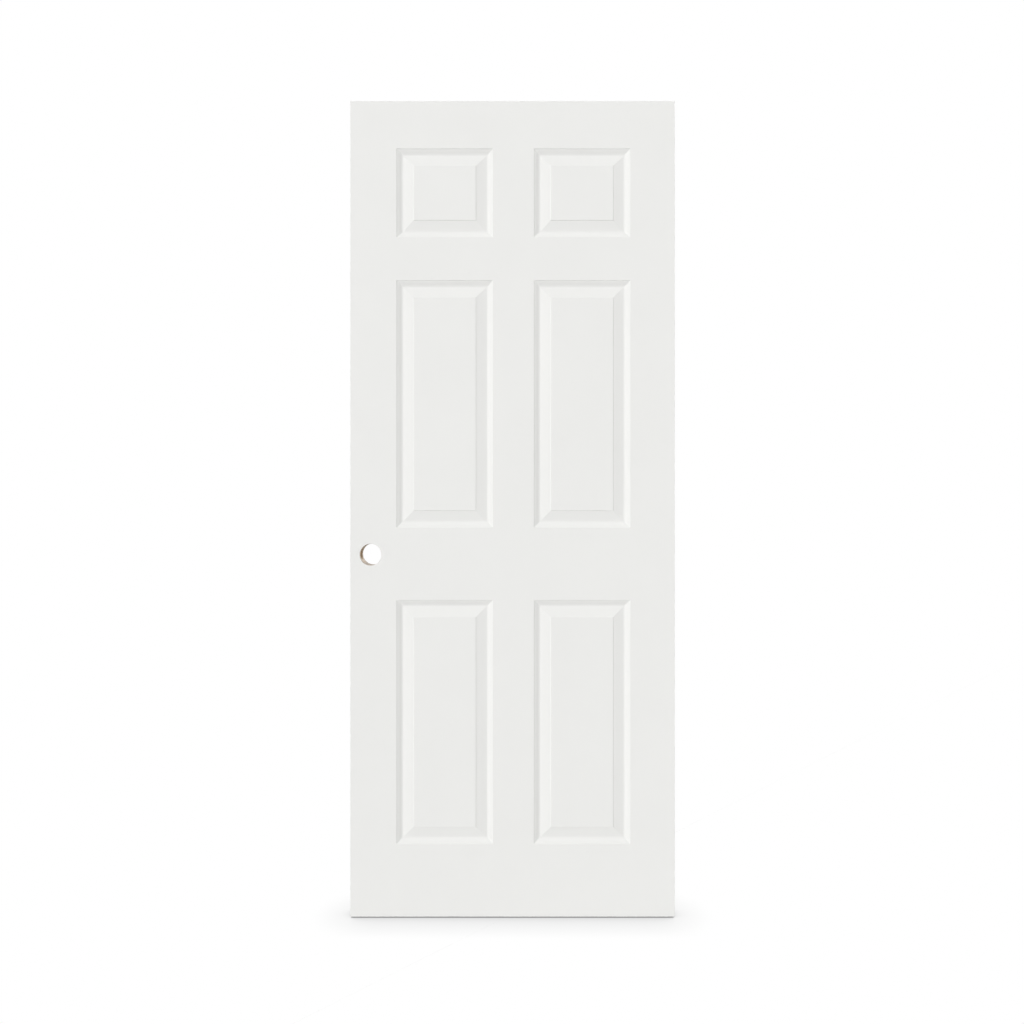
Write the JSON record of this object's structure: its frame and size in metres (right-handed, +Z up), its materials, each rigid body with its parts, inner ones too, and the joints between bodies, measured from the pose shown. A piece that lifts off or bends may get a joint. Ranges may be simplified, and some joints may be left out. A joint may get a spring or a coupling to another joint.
{
  "type": "panelled front door",
  "caption": "White moulded front door slab with raised panels on both faces, a lock bore through it and a latch bore in its edge.",
  "frame": {"origin": "middle of the bottom edge, at half the slab's thickness", "axes": "+X from the lock edge to the hinge edge, +Y from the front face to the back face, +Z up"},
  "size_m": [0.8128, 0.0444, 2.032],
  "materials": {
    "primed_fibreboard": "white primer on smooth moulded fibreboard",
    "softwood": "planed",
    "block_fibreboard": "sawn",
    "particleboard": "pressed"
  },
  "bodies": {
    "root": {"front_skin": "primed_fibreboard", "rear_skin": "primed_fibreboard", "lock_stile": "softwood", "hinge_stile": "softwood", "top_rail": "softwood", "bottom_rail": "softwood", "lock_block": "block_fibreboard", "core_board": "particleboard"}
  },
  "joints": []
}
